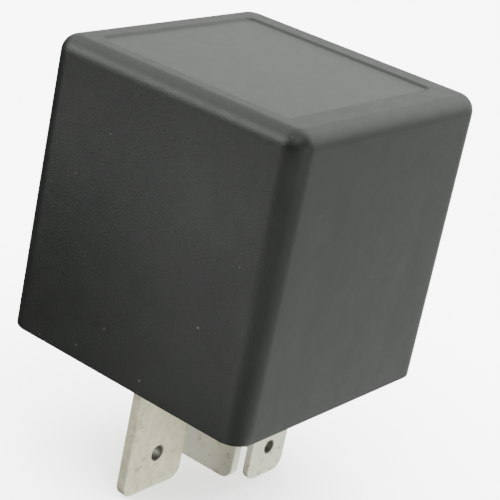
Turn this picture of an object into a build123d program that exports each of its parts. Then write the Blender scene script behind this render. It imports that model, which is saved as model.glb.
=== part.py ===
from build123d import *
import os
from math import radians, sin, tan

# Plug-in changeover relay. Millimetres. +Z is up and Z = 0 is the seating plane: the rim of
# the cover and the underside of the base. The origin is the middle of that plane. The coil
# stands upright, the yoke is on the -X side and the fixed contacts are on the +X side.

# Cover: a drafted square cap pushed down over the base
COVER_SIZE = 33.0
COVER_HEIGHT = 33.5
COVER_DRAFT = 0.25
COVER_CORNER = 2.5
COVER_TOP_EDGE = 1.9
COVER_WALL = 1.5
RECESS_SIZE = 25.1
RECESS_SHIFT = (-0.4, 0.4)
RECESS_CORNER = 0.9
RECESS_DEPTH = 0.2
SEAT_BAND = 4.4
SEAT_STEP = 0.2
CAVITY_CORNER = 1.2

# Base plate and its crush ribs
BASE_SIZE = 29.4
BASE_THICK = 3.0
BASE_CORNER = 1.0
RIB_WIDTH = 1.2
RIB_BOTTOM = 0.4
RIB_TOP = 2.6
RIB_SPACING = 10.0
SLOT_SIDE_GAP = 0.1
RAIL_WIDTH = 1.6

# Flat tab blades
LOAD_WIDTH = 9.5
LOAD_THICK = 1.2
LOAD_TIP = -15.3
LOAD_HOLE = 1.6
LOAD_HOLE_RISE = 4.5
SWITCHED_HOLE_RISE = 5.7
COIL_TAB_WIDTH = 6.3
COIL_TAB_THICK = 0.8
COIL_TAB_TIP = -12.4
COIL_TAB_HOLE = 1.4
COIL_TAB_HOLE_RISE = 3.6
TAB_CORNER = 1.5
TAB_EDGE = 0.18
BLADE_30_X = -7.8
BLADE_87A_X = 1.8
BLADE_87_X = 9.8
COIL_TAB_X = 1.5
COIL_TAB_Y = 8.4
BEND_RADIUS = 0.9

# Magnet frame
YOKE_BACK = -13.0
YOKE_FRONT = 4.5
YOKE_WIDTH = 14.0
YOKE_THICK = 2.0
YOKE_BEND = 1.2
YOKE_FLOOR = 4.8
POLE_FACE = 23.6
CORE_X = -2.0
CORE_RADIUS = 3.6
CORE_TAIL_RADIUS = 2.2
POLE_RADIUS = 4.9
POLE_THICK = 1.4

# Bobbin and winding
FLANGE_SIZE = 14.8
FLANGE_THICK = 1.2
FLANGE_CORNER = 2.4
TUBE_WALL = 0.7
CORE_GAP = 0.1
WINDING_RADIUS = 6.9
WINDING_GAP = 0.05

# Armature, hinged on the back top edge of the yoke
OPEN_ANGLE = 2.4
ARMATURE_WIDTH = 13.0
ARMATURE_THICK = 1.6
ARMATURE_BACK = -12.9
ARMATURE_TIP = 3.4
ARMATURE_REAR_EDGE = 1.5
ANTI_STICK_GAP = 0.06

# Contact spring and rivets
SPRING_THICK = 0.3
SPRING_WIDTH = 11.0
SPRING_NECK = 6.4
SPRING_FOOT = 10.5
SPRING_BEND = 1.65
SPRING_TIP = 8.6
RIVET_SHANK = 0.9
RIVET_HEAD = 1.4
RIVET_HEAD_THICK = 0.6
RIVET_Y = 3.6
ARMATURE_RIVET_X = -6.5
YOKE_RIVET_Z = 14.5
RIVET_CLEARANCE = 0.2

# Contacts
CONTACT_X = 6.2
CONTACT_RADIUS = 1.8
CONTACT_SHANK = 1.0
CONTACT_DOME = 0.12
MOVING_LOWER = 0.9
MOVING_UPPER = 0.8
FIXED_NO_HEAD = 0.5
FIXED_NC_HEAD = 0.6
CONTACT_GAP = 0.02
PLATE_REACH = 2.0
PLATE_SIDE = 2.4
STEM_INNER = 0.4
STEM_87A_X = 12.8
RUN_87A_Z = 3.9

# Coil connections and the suppression resistor
STEM_WIDTH = 3.0
STEM_TOP = 10.2
COIL_WIRE = 0.15
WIRE_HEIGHT = 9.2
WIRE_START_X = 1.5
WIRE_START_Y = 6.04
WIRE_END_X = 3.0
RESISTOR_X = 7.0
RESISTOR_Z = 9.5
RESISTOR_RADIUS = 1.1
RESISTOR_LENGTH = 6.4
RESISTOR_EDGE = 0.45
LEAD_RADIUS = 0.3
LEAD_BEND = 0.9
LEAD_END_X = 2.6
SOLDER_RADIUS = 1.3
SOLDER_Z = 9.4
SOLDER_FILM = 0.06

YOKE_FLOOR_TOP = YOKE_FLOOR + YOKE_THICK
FLANGE_TOP = POLE_FACE - POLE_THICK
ARMATURE_UNDER = POLE_FACE + ANTI_STICK_GAP
ARMATURE_TOP = ARMATURE_UNDER + ARMATURE_THICK
SPRING_TOP = ARMATURE_TOP + SPRING_THICK
NO_FACE = ARMATURE_TOP - MOVING_LOWER - CONTACT_GAP
LEVER = CONTACT_X - YOKE_BACK
NC_FACE = SPRING_TOP + MOVING_UPPER + LEVER * sin(radians(OPEN_ANGLE)) + CONTACT_GAP


def block(x_range, y_range, z_range):
    """A box given by its lower and upper limits on each axis."""
    size = [high - low for low, high in (x_range, y_range, z_range)]
    middle = [(high + low) / 2 for low, high in (x_range, y_range, z_range)]
    return Pos(*middle) * Box(*size)


def span(middle, width):
    """The lower and upper limits of a width centred on a middle."""
    return (middle - width / 2, middle + width / 2)


def upright(radius, low, high, x, y=0.0):
    """A vertical cylinder between two heights."""
    disc = Cylinder(radius, high - low, align=(Align.CENTER, Align.CENTER, Align.MIN))
    return Pos(x, y, low) * disc


def opened(shape):
    """Tilt a shape from the closed position to the open one, about the hinge line."""
    hinge = Pos(YOKE_BACK, 0, POLE_FACE)
    return hinge * Rot(0, -OPEN_ANGLE, 0) * Pos(-YOKE_BACK, 0, -POLE_FACE) * shape


def bent_sheet(points, radius, thick, y_range):
    """A sheet strip whose centre line passes the given (x, z) points."""
    line = FilletPolyline(*points, radius=radius)
    profile = Plane.XZ * trace(line, thick)
    return Pos(0, y_range[1], 0) * extrude(profile, amount=y_range[1] - y_range[0])


def tab(width, thick, tip, top, hole, hole_rise):
    """A flat blade in the XZ plane with rounded tip corners, eased edges and a detent hole."""
    outline = Plane.XZ * Pos(0, (tip + top) / 2) * Rectangle(width, top - tip)
    outline = fillet(outline.vertices().group_by(Axis.Z)[0], TAB_CORNER)
    blade = Pos(0, thick / 2, 0) * extrude(outline, amount=thick)
    near_face = blade.faces().sort_by(Axis.Y)[0]
    far_face = blade.faces().sort_by(Axis.Y)[-1]
    rim = [edge for edge in near_face.edges() + far_face.edges() if edge.center().Z < top - TAB_EDGE]
    blade = chamfer(rim, TAB_EDGE)
    return blade - Pos(0, 0, tip + hole_rise) * Rot(90, 0, 0) * Cylinder(hole / 2, 2 * thick)


def load_tab(top, hole_rise):
    """A wide blade for the switched circuit."""
    return tab(LOAD_WIDTH, LOAD_THICK, LOAD_TIP, top, LOAD_HOLE, hole_rise)


def across(shape, x):
    """Turn a blade so that it stands across the X axis at the given x."""
    return Pos(x, 0, 0) * Rot(0, 0, 90) * shape


def drafted(size, corner, low, high):
    """A square block with rounded corners that narrows upward by the cover's draft."""
    return extrude(Pos(0, 0, low) * RectangleRounded(size, size, corner), high - low, taper=COVER_DRAFT)


def cavity_size(height):
    """The width of the cover's cavity at a height above the seat band."""
    return COVER_SIZE - 2 * COVER_WALL - SEAT_STEP - 2 * height * tan(radians(COVER_DRAFT))


def cover():
    """The cap: drafted walls, rounded edges and a shallow square recess in its top."""
    shell = drafted(COVER_SIZE, COVER_CORNER, 0, COVER_HEIGHT)
    shell = fillet(shell.faces().sort_by(Axis.Z)[-1].edges(), COVER_TOP_EDGE)
    roof = COVER_HEIGHT - RECESS_DEPTH - COVER_WALL
    seat_size = COVER_SIZE - 2 * COVER_WALL
    shell -= extrude(RectangleRounded(seat_size, seat_size, CAVITY_CORNER), SEAT_BAND)
    shell -= drafted(cavity_size(SEAT_BAND), CAVITY_CORNER, SEAT_BAND, roof)
    outline = RectangleRounded(RECESS_SIZE, RECESS_SIZE, RECESS_CORNER)
    floor = Pos(*RECESS_SHIFT, COVER_HEIGHT - RECESS_DEPTH) * outline
    return shell - extrude(floor, 2 * RECESS_DEPTH)


def tab_slot(x, y, x_size, y_size):
    """The hole in the base that one blade passes through."""
    return Pos(x, y, BASE_THICK / 2) * Box(x_size, y_size, 2 * BASE_THICK)


def base():
    """The plate that holds the blades, with crush ribs round its edge and rails for the yoke."""
    plate = extrude(RectangleRounded(BASE_SIZE, BASE_SIZE, BASE_CORNER), BASE_THICK)
    seat_half = COVER_SIZE / 2 - COVER_WALL
    rib = block(span(0, RIB_WIDTH), (BASE_SIZE / 2 - BASE_CORNER, seat_half), (RIB_BOTTOM, RIB_TOP))
    for quarter in range(4):
        for step in (-1, 0, 1):
            plate += Rot(0, 0, 90 * quarter) * Pos(step * RIB_SPACING, 0, 0) * rib
    for side in (-1, 1):
        middle = side * (YOKE_WIDTH - RAIL_WIDTH) / 2
        plate += block((YOKE_BACK, YOKE_FRONT), span(middle, RAIL_WIDTH), (BASE_THICK, YOKE_FLOOR))
    load_slot = LOAD_WIDTH + 2 * SLOT_SIDE_GAP
    coil_slot = COIL_TAB_WIDTH + 2 * SLOT_SIDE_GAP
    plate -= tab_slot(BLADE_30_X, 0, load_slot, LOAD_THICK)
    for x in (BLADE_87A_X, BLADE_87_X):
        plate -= tab_slot(x, 0, LOAD_THICK, load_slot)
    for side in (-1, 1):
        plate -= tab_slot(COIL_TAB_X, side * COIL_TAB_Y, coil_slot, COIL_TAB_THICK)
    return plate


def yoke():
    """The L-shaped iron frame: a foot on the rails and an upright back that the armature rocks on."""
    foot = block((YOKE_BACK, YOKE_FRONT), span(0, YOKE_WIDTH), (YOKE_FLOOR, YOKE_FLOOR_TOP))
    back = block((YOKE_BACK, YOKE_BACK + YOKE_THICK), span(0, YOKE_WIDTH), (YOKE_FLOOR, POLE_FACE))
    frame = foot + back
    heel = frame.edges().filter_by(Axis.Y).group_by(Axis.Z)[0].sort_by(Axis.X)[0]
    frame = fillet(heel, YOKE_BEND)
    frame -= upright(CORE_TAIL_RADIUS, 0, YOKE_FLOOR_TOP + YOKE_THICK, CORE_X)
    for side in (-1, 1):
        shank = Rot(0, 90, 0) * Cylinder(RIVET_SHANK, 3 * YOKE_THICK)
        frame -= Pos(YOKE_BACK, side * RIVET_Y, YOKE_RIVET_Z) * shank
    return frame - tenon(2 * YOKE_THICK)


def tenon(height):
    """The narrow top of blade 30 that is staked into the yoke's foot."""
    width = LOAD_WIDTH / 2
    left = YOKE_BACK + YOKE_THICK + YOKE_THICK / 2
    return block((left, left + width), span(0, LOAD_THICK), (YOKE_FLOOR, YOKE_FLOOR + height))


def core():
    """The iron core: a tail staked in the yoke's foot, the round bar and the pole head."""
    tail = upright(CORE_TAIL_RADIUS, YOKE_FLOOR, YOKE_FLOOR_TOP, CORE_X)
    bar = upright(CORE_RADIUS, YOKE_FLOOR_TOP, FLANGE_TOP, CORE_X)
    head = upright(POLE_RADIUS, FLANGE_TOP, POLE_FACE, CORE_X)
    return tail + bar + head


def bobbin():
    """The spool that carries the winding, with square flanges."""
    flange = extrude(RectangleRounded(FLANGE_SIZE, FLANGE_SIZE, FLANGE_CORNER), FLANGE_THICK)
    bore = CORE_RADIUS + CORE_GAP
    spool = upright(bore + TUBE_WALL, YOKE_FLOOR_TOP, FLANGE_TOP, CORE_X)
    spool += Pos(CORE_X, 0, YOKE_FLOOR_TOP) * flange
    spool += Pos(CORE_X, 0, FLANGE_TOP - FLANGE_THICK) * flange
    return spool - upright(bore, 0, POLE_FACE, CORE_X)


def coil_winding():
    """The wound copper between the bobbin's flanges."""
    low = YOKE_FLOOR_TOP + FLANGE_THICK
    high = FLANGE_TOP - FLANGE_THICK
    inner = CORE_RADIUS + CORE_GAP + TUBE_WALL + WINDING_GAP
    return upright(WINDING_RADIUS, low, high, CORE_X) - upright(inner, low, high, CORE_X)


def armature():
    """The hinged iron plate, in its open position."""
    plate = block((ARMATURE_BACK, ARMATURE_TIP), span(0, ARMATURE_WIDTH), (ARMATURE_UNDER, ARMATURE_TOP))
    rear = plate.edges().filter_by(Axis.Y).group_by(Axis.Z)[-1].sort_by(Axis.X)[0]
    plate = fillet(rear, ARMATURE_REAR_EDGE)
    for side in (-1, 1):
        plate -= upright(RIVET_SHANK, POLE_FACE, SPRING_TOP, ARMATURE_RIVET_X, side * RIVET_Y)
    return opened(plate)


def contact_spring():
    """The bent leaf: riveted to the yoke's back, over the hinge and along the armature."""
    foot = Vector(YOKE_BACK - SPRING_THICK / 2, 0, SPRING_FOOT)
    middle = ARMATURE_TOP + SPRING_THICK / 2
    tip = opened(Pos(SPRING_TIP, 0, middle)).position
    slope = tan(radians(OPEN_ANGLE))
    corner_z = tip.Z - (tip.X - foot.X) * slope
    points = [(foot.X, foot.Z), (foot.X, corner_z), (tip.X, tip.Z)]
    leaf = bent_sheet(points, SPRING_BEND, SPRING_THICK, span(0, SPRING_WIDTH))
    for side in (-1, 1):
        inner, outer = sorted((side * SPRING_NECK / 2, side * SPRING_WIDTH))
        leaf -= block((ARMATURE_TIP - 1, 2 * SPRING_TIP), (inner, outer), (ARMATURE_UNDER, COVER_HEIGHT))
        leaf -= opened(upright(RIVET_SHANK, POLE_FACE, COVER_HEIGHT, ARMATURE_RIVET_X, side * RIVET_Y))
        hole = Rot(0, 90, 0) * Cylinder(RIVET_SHANK + RIVET_CLEARANCE, YOKE_THICK)
        leaf -= Pos(YOKE_BACK, side * RIVET_Y, YOKE_RIVET_Z) * hole
    return leaf - opened(upright(CONTACT_SHANK, POLE_FACE, COVER_HEIGHT, CONTACT_X))


def domed_disc(radius, thick):
    """A contact face: a disc from Z = 0 up to a slightly domed top."""
    sphere_radius = (radius ** 2 + CONTACT_DOME ** 2) / (2 * CONTACT_DOME)
    disc = Cylinder(radius, thick, align=(Align.CENTER, Align.CENTER, Align.MIN))
    return disc & Pos(0, 0, thick - sphere_radius) * Sphere(sphere_radius)


def moving_contact():
    """The double-faced contact rivet in the free end of the spring."""
    lower = Pos(CONTACT_X, 0, ARMATURE_TOP) * Rot(180, 0, 0) * domed_disc(CONTACT_RADIUS, MOVING_LOWER)
    upper = Pos(CONTACT_X, 0, SPRING_TOP) * domed_disc(CONTACT_RADIUS, MOVING_UPPER)
    return opened(lower + upright(CONTACT_SHANK, ARMATURE_TOP, SPRING_TOP, CONTACT_X) + upper)


def fixed_contact_no():
    """The contact under the moving one, which closes when the coil is energised."""
    plate_top = NO_FACE - FIXED_NO_HEAD
    shank = upright(CONTACT_SHANK, plate_top - LOAD_THICK, plate_top, CONTACT_X)
    return shank + upright(CONTACT_RADIUS, plate_top, NO_FACE, CONTACT_X)


def fixed_contact_nc():
    """The contact over the moving one, which is closed at rest."""
    plate_under = NC_FACE + FIXED_NC_HEAD
    shank = upright(CONTACT_SHANK, plate_under, plate_under + LOAD_THICK, CONTACT_X)
    return shank + upright(CONTACT_RADIUS, NC_FACE, plate_under, CONTACT_X)


def terminal_30():
    """The common blade, staked into the yoke's foot."""
    blade = Pos(BLADE_30_X, 0, 0) * load_tab(YOKE_FLOOR, LOAD_HOLE_RISE)
    return blade + tenon(YOKE_THICK)


def terminal_87():
    """The normally open blade: its stem stands up and carries a plate under the contacts."""
    plate_top = NO_FACE - FIXED_NO_HEAD
    middle = plate_top - LOAD_THICK / 2
    stem_side = (-LOAD_WIDTH / 2, -STEM_INNER)
    points = [(BLADE_87_X, BASE_THICK / 2), (BLADE_87_X, middle), (CONTACT_X - PLATE_REACH, middle)]
    sheet = across(load_tab(BASE_THICK, SWITCHED_HOLE_RISE), BLADE_87_X)
    sheet += bent_sheet(points, BEND_RADIUS, LOAD_THICK, stem_side)
    plate_x = (CONTACT_X - PLATE_REACH, BLADE_87_X - BEND_RADIUS)
    sheet += block(plate_x, (-LOAD_WIDTH / 2, PLATE_SIDE), (plate_top - LOAD_THICK, plate_top))
    return sheet - upright(CONTACT_SHANK, plate_top - LOAD_THICK, plate_top, CONTACT_X)


def terminal_87a():
    """The normally closed blade: it runs under the yoke, up the +X side and over the contacts."""
    plate_under = NC_FACE + FIXED_NC_HEAD
    middle = plate_under + LOAD_THICK / 2
    stem_side = (STEM_INNER, LOAD_WIDTH / 2)
    points = [(BLADE_87A_X, BASE_THICK / 2), (BLADE_87A_X, RUN_87A_Z), (STEM_87A_X, RUN_87A_Z)]
    points += [(STEM_87A_X, middle), (CONTACT_X - PLATE_REACH, middle)]
    sheet = across(load_tab(BASE_THICK, SWITCHED_HOLE_RISE), BLADE_87A_X)
    sheet += bent_sheet(points, BEND_RADIUS, LOAD_THICK, stem_side)
    plate_x = (CONTACT_X - PLATE_REACH, STEM_87A_X - BEND_RADIUS)
    sheet += block(plate_x, (-PLATE_SIDE, LOAD_WIDTH / 2), (plate_under, plate_under + LOAD_THICK))
    return sheet - upright(CONTACT_SHANK, plate_under, plate_under + LOAD_THICK, CONTACT_X)


def coil_terminal(side):
    """A narrow blade with a stem beside the coil, on the side of the given sign."""
    right = COIL_TAB_X + COIL_TAB_WIDTH / 2
    blade = tab(COIL_TAB_WIDTH, COIL_TAB_THICK, COIL_TAB_TIP, BASE_THICK, COIL_TAB_HOLE, COIL_TAB_HOLE_RISE)
    middle_y = side * COIL_TAB_Y
    stem = block((right - STEM_WIDTH, right), span(middle_y, COIL_TAB_THICK), (BASE_THICK, STEM_TOP))
    return Pos(COIL_TAB_X, middle_y, 0) * blade + stem


def wire(points, radius, bend):
    """A round wire through the given points, with arcs at its corners."""
    path = FilletPolyline(*points, radius=bend) if len(points) > 2 else Line(*points)
    start = Plane(origin=path @ 0, z_dir=path % 0)
    return sweep(start * Circle(radius), path=path)


def coil_lead(side):
    """The winding's end wire, from the winding out to the stem on one side."""
    wire_y = side * (COIL_TAB_Y - COIL_TAB_THICK / 2 - SOLDER_FILM - COIL_WIRE)
    start_y = side * WIRE_START_Y
    points = [(WIRE_START_X, start_y, WIRE_HEIGHT), (WIRE_START_X, wire_y, WIRE_HEIGHT)]
    points += [(WIRE_END_X, wire_y, WIRE_HEIGHT)]
    return wire(points, COIL_WIRE, 2 * COIL_WIRE)


def resistor():
    """The suppression resistor's round body, lying along Y beside the coil."""
    body = Rot(90, 0, 0) * Cylinder(RESISTOR_RADIUS, RESISTOR_LENGTH)
    body = fillet(body.edges().filter_by(GeomType.CIRCLE), RESISTOR_EDGE)
    return Pos(RESISTOR_X, 0, RESISTOR_Z) * body


def resistor_lead(side):
    """The resistor's wire from one end of its body to the outside of a coil terminal's stem."""
    wire_y = side * (COIL_TAB_Y + COIL_TAB_THICK / 2 + SOLDER_FILM + LEAD_RADIUS)
    points = [(RESISTOR_X, side * RESISTOR_LENGTH / 2, RESISTOR_Z), (RESISTOR_X, wire_y, RESISTOR_Z)]
    points += [(LEAD_END_X, wire_y, RESISTOR_Z)]
    return wire(points, LEAD_RADIUS, LEAD_BEND)


def solder(side):
    """The solder round both wires on one coil terminal's stem."""
    blob = Pos(WIRE_END_X, side * COIL_TAB_Y, SOLDER_Z) * Sphere(SOLDER_RADIUS)
    return blob - coil_terminal(side) - coil_lead(side) - resistor_lead(side)


def armature_rivet(side):
    """A rivet through the spring and the armature."""
    y = side * RIVET_Y
    shank = upright(RIVET_SHANK, ARMATURE_UNDER, SPRING_TOP, ARMATURE_RIVET_X, y)
    head = upright(RIVET_HEAD, SPRING_TOP, SPRING_TOP + RIVET_HEAD_THICK, ARMATURE_RIVET_X, y)
    return opened(shank + head)


def yoke_rivet(side):
    """A rivet through the spring and the yoke's back."""
    outside = YOKE_BACK - SPRING_THICK
    shank = upright(RIVET_SHANK, outside, YOKE_BACK + YOKE_THICK, 0)
    head = upright(RIVET_HEAD, outside - RIVET_HEAD_THICK, outside, 0)
    return Pos(0, side * RIVET_Y, YOKE_RIVET_Z) * Rot(0, 90, 0) * (shank + head)


def pair(make):
    """The two mirrored solids that one function makes, as a group."""
    return Compound(children=[Part(make(side).wrapped) for side in (-1, 1)])


NODES = {
    "cover": cover(),
    "base": base(),
    "yoke": yoke(),
    "core": core(),
    "bobbin": bobbin(),
    "coil_winding": coil_winding(),
    "armature": armature(),
    "contact_spring": contact_spring(),
    "armature_rivets": pair(armature_rivet),
    "yoke_rivets": pair(yoke_rivet),
    "moving_contact": moving_contact(),
    "fixed_contact_no": fixed_contact_no(),
    "fixed_contact_nc": fixed_contact_nc(),
    "terminal_30": terminal_30(),
    "terminal_87": terminal_87(),
    "terminal_87a": terminal_87a(),
    "terminal_85": coil_terminal(-1),
    "terminal_86": coil_terminal(1),
    "coil_lead_start": coil_lead(-1),
    "coil_lead_end": coil_lead(1),
    "suppression_resistor": resistor(),
    "resistor_leads": pair(resistor_lead),
    "solder_joints": pair(solder),
}

os.makedirs("parts", exist_ok=True)
for name, shape in NODES.items():
    export_step(shape, os.path.join("parts", name + ".step"))
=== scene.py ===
from math import cos, exp, pi, radians, sin, tan

import bmesh
import bpy
from mathutils import Matrix, Vector
from mathutils.geometry import tessellate_polygon


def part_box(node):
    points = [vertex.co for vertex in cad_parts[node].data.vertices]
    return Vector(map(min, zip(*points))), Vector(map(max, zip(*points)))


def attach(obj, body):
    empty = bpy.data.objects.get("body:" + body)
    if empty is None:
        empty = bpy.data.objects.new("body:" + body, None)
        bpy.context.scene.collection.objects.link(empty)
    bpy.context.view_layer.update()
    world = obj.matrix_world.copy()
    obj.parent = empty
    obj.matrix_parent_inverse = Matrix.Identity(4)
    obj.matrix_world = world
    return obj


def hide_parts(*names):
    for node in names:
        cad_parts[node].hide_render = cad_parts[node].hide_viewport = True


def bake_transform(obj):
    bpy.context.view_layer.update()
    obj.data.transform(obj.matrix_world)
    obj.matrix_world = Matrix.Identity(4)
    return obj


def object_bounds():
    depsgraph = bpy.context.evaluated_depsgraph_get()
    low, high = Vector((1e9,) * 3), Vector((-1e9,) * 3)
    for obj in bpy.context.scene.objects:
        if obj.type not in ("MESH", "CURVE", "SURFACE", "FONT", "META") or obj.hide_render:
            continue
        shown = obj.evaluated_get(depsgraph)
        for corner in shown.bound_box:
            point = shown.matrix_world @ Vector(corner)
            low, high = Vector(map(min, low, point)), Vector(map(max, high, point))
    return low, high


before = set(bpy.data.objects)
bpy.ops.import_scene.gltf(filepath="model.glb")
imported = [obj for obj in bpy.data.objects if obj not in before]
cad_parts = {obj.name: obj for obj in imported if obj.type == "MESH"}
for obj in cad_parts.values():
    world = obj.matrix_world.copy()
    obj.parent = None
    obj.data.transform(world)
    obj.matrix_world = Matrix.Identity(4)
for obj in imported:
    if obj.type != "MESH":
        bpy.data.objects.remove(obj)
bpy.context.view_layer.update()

# Lengths are in millimetres until smooth_object() turns a form into metres
MM = 0.001
BOX = {name: [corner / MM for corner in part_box(name)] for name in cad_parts}

# Cap: outside, cavity, the shallow recess in its top and the sink marks in its sides
COVER_HALF = BOX["cover"][1].x
COVER_TOP = BOX["cover"][1].z
DRAFT = tan(radians(0.25))
CORNER = 2.5
TOP_EDGE = 1.9
WALL = 1.5
RIM_EDGE = 0.22
SEAT_BAND = 4.4
SEAT_STEP = 0.1
SEAT_LEAD = 0.3
CAVITY_CORNER = 1.2
CAVITY_EDGE = 0.8
RECESS_HALF = 12.55
RECESS_MIDDLE = (-0.4, 0.4)
RECESS_CORNER = 0.9
RECESS_DEPTH = 0.2
RECESS_SLOPE = 0.6
RECESS_STEPS = 8
CORNER_STEPS = 12
SIDE_STEPS = 24
WALL_STEPS = 24
FILLET_STEPS = 12
SINK_DEPTH = 0.03
SINK_WIDTH = 1.6
SINK_PLACES = (-8.6, 8.6)

# Base plate, its crush ribs, blade slots and pin marks, and the rails under the yoke. Ribs and
# rails reach into the plate by the overlap
BASE_HALF = 14.7
BASE_THICK = 3.0
BASE_CORNER = 1.0
BASE_EDGE = 0.25
RIB_WIDTH = 1.2
RIB_LOW = 0.4
RIB_HIGH = 2.6
RIB_SPACING = 10.0
RIB_CORNER = 0.2
RIB_EDGE = 0.15
RIB_GAP = 0.01
SLOT_GAP = 0.1
SLOT_EASE = 0.02
SLOT_CORNER = 0.15
RAIL_WIDTH = 1.6
RAIL_CORNER = 0.3
RAIL_EDGE = 0.2
OVERLAP = 1.0
PIN_MARK = 1.1
PIN_MARK_SINK = 0.08
PIN_MARKS = ((-11.3, 10.9), (-11.3, -10.9), (11.3, 10.9), (11.3, -10.9))

# Blades
LOAD_WIDTH = 9.5
LOAD_THICK = 1.2
LOAD_HOLE = 0.8
LOAD_RISE = 4.5
SWITCHED_RISE = 5.7
COIL_WIDTH = 6.3
COIL_THICK = 0.8
COIL_HOLE = 0.7
COIL_RISE = 3.6
TIP_CORNER = 1.5
LOAD_EDGE = 0.17
COIL_EDGE = 0.14
BLADE_30_X = -7.8
BLADE_87A_X = 1.8
BLADE_87_X = 9.8
STEM_87A_X = 12.8
RUN_87A_Z = 3.9
COIL_TAB_X = 1.5
COIL_TAB_Y = 8.4
STEM_INNER = 0.4
COIL_STEM = 3.0
BEND_RADIUS = 0.9
TENON_SIDES = (-2.2, 2.55)
# The blades whose tin is painted lighter, as painted light standing in for more light on them
PAINTED_LIGHT_TABS = ("terminal_85", "terminal_86", "terminal_87a")
# The radii of a blade's corners, from its tip round
RADII_30 = (TIP_CORNER, TIP_CORNER, 0.4, 0.2, 0.2, 0.2, 0.2, 0.4)
RADII_COIL = (TIP_CORNER, TIP_CORNER, 0.5, 0.5, 0.3, 0.3)
RADII_BENT = (TIP_CORNER, TIP_CORNER, 0.3, 0.5, 0.4, 0.5, 0.9, 0.9)

# Magnet: yoke, core, bobbin and winding. The radii of yoke and core go round their outlines
YOKE_LOW, YOKE_HIGH = BOX["yoke"]
YOKE_THICK = 2.0
YOKE_RADII = (1.2, 0.2, 0.2, 0.25, 0.15, 0.08)
IRON_EDGE = 0.18
CORE_X = -2.0
CORE_RADIUS = 3.6
TAIL_RADIUS = 2.2
POLE_RADIUS = 4.9
POLE_THICK = 1.4
CORE_RADII = (0, 0.2, 0, 0.1, 0, 0.1, 0.25, 0)
FLANGE_HALF = 7.4
FLANGE_CORNER = 2.4
FLANGE_THICK = 1.2
FLANGE_EDGE = 0.22
BORE_GAP = 0.1
TUBE_RADIUS = 4.4
TUBE_EDGE = 0.05
TUBE_SUNK = 0.3
WINDING_RADIUS = 6.9
WIRE_RADIUS = 0.15
WIRE_STEPS = 56
WIRE_SIDES = 8
WIRE_SUNK = 0.04
BED_SUNK = 0.05
# How the turns wander in and out: reach (mm), waves per radian, phase
WIRE_WANDERS = ((0.018, 0.37, 0), (0.012, 1.13, 2))

# Armature, its spring and the rivets, in the closed position
HINGE = Vector((YOKE_LOW.x, 0, YOKE_HIGH.z))
OPEN_ANGLE = radians(2.4)
ARMATURE_BACK = -12.9
ARMATURE_TIP = 3.4
ARMATURE_LOW = 23.66
ARMATURE_HIGH = 25.26
ARMATURE_HALF = 6.5
ARMATURE_RADII = (0.06, 0.2, 0.2, 1.5)
SPRING_THICK = 0.3
SPRING_HALF = 5.5
SPRING_NECK = 3.2
SPRING_FOOT = 10.5
SPRING_BEND = 1.65
SPRING_TIP = 8.6
SPRING_LAP = 1.0
SPRING_EDGE = 0.06
SPRING_RADII = (1.0, 1.0, 1.0, 0.6, 1.8, 1.8, 0.6, 1.0)
RIVET_HEAD = 1.4
RIVET_RISE = 0.6
RIVET_BULGE = 0.38
RIVET_EDGE = 0.08
RIVET_SHANK = 0.9
RIVET_Y = 3.6
RIVET_X = -6.5
RIVET_Z = 14.5
UPSET = 0.1
UPSET_EDGE = 0.12

# Contacts
CONTACT_X = 6.2
CONTACT_RADIUS = 1.8
CONTACT_SHANK = 1.0
CONTACT_BULGE = 0.12
CONTACT_EDGE = 0.12
CONTACT_HEEL = 0.08
UPPER_RISE = 0.8
LOWER_RISE = 0.9
PLATE_REACH = 2.0
PLATE_SIDE = 2.4

# Suppression resistor
RESISTOR_MIDDLE = Vector((7.0, 0, 9.5))
RESISTOR_HALF = 3.2
RESISTOR_END = 1.1
RESISTOR_WAIST = 0.94
RESISTOR_CAP = 1.5
RESISTOR_NECK = 2.1
RESISTOR_EDGE = 0.5
# Its bands: the middle along Y (mm) and the colour
BANDS = (
    (-2.3, (0.20, 0.06, 0.02)),
    (-1.0, (0.01, 0.01, 0.012)),
    (0.1, (0.20, 0.06, 0.02)),
    (2.2, (0.5, 0.3, 0.06)),
)
BAND_HALF = 0.28

# Solder: place, half sizes, how far its ends draw in, how unevenly it swells, subdivisions
SOLDER_X = 3.0
SOLDER_Z = 9.4
SOLDER_HALF = (1.22, 0.98, 1.22)
SOLDER_DRAW = 0.25
SOLDER_SWELL = 0.06
SOLDER_RIPPLE = 0.04
SOLDER_STEPS = 5

# Camera: where it stands, what it looks at, its roll, focal length and shift
CAMERA_PLACE = (-142.42, -99.25, 81.62)
CAMERA_AIM = (0.66, 0.18, 11.6)
CAMERA_ROLL = 11.67
CAMERA_LENS = 123.1
CAMERA_SENSOR = 36
CAMERA_SHIFT = (0.0252, 0.0046)

# The studio: its reach, the radius of its curves and of the small hole in its middle (mm), and
# the floor's glow, which is dimmed close to the object as a painted shadow, over a reach in metres
STUDIO_REACH = 2400
STUDIO_CURVE = 900
STUDIO_HOLE = 1
FLOOR_GLOW = 8.5
SHADOW_GLOW = 2.0
SHADOW_REACH = 0.05
SHADOW_OPEN = 0.3
# The light's faint tint, an even fill, and wide glows in the world: azimuth and
# elevation (degrees), sharpness, strength
SKY_TINT = (0.965, 1.0, 0.96)
FILL = 0.03
GLOWS = (
    (0, 0, 2, 1.15),
    (0, 50, 14, 2.5),
    (0, 90, 20, 1.1),
    (45, 25, 14, 0.8),
    (90, 50, 14, 3.1),
    (135, 25, 14, 4.4),
    (146, 26, 40, 4.4),
    (180, -50, 14, 1.1),
    (200, -25, 14, 0.4),
    (225, 58, 10, 2.8),
    (240, -22, 14, 0.7),
    (270, 0, 14, 2.1),
    (300, -50, 14, 1.75),
    (325, 30, 14, 2.2),
    (330, -50, 14, 1.15),
)
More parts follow.
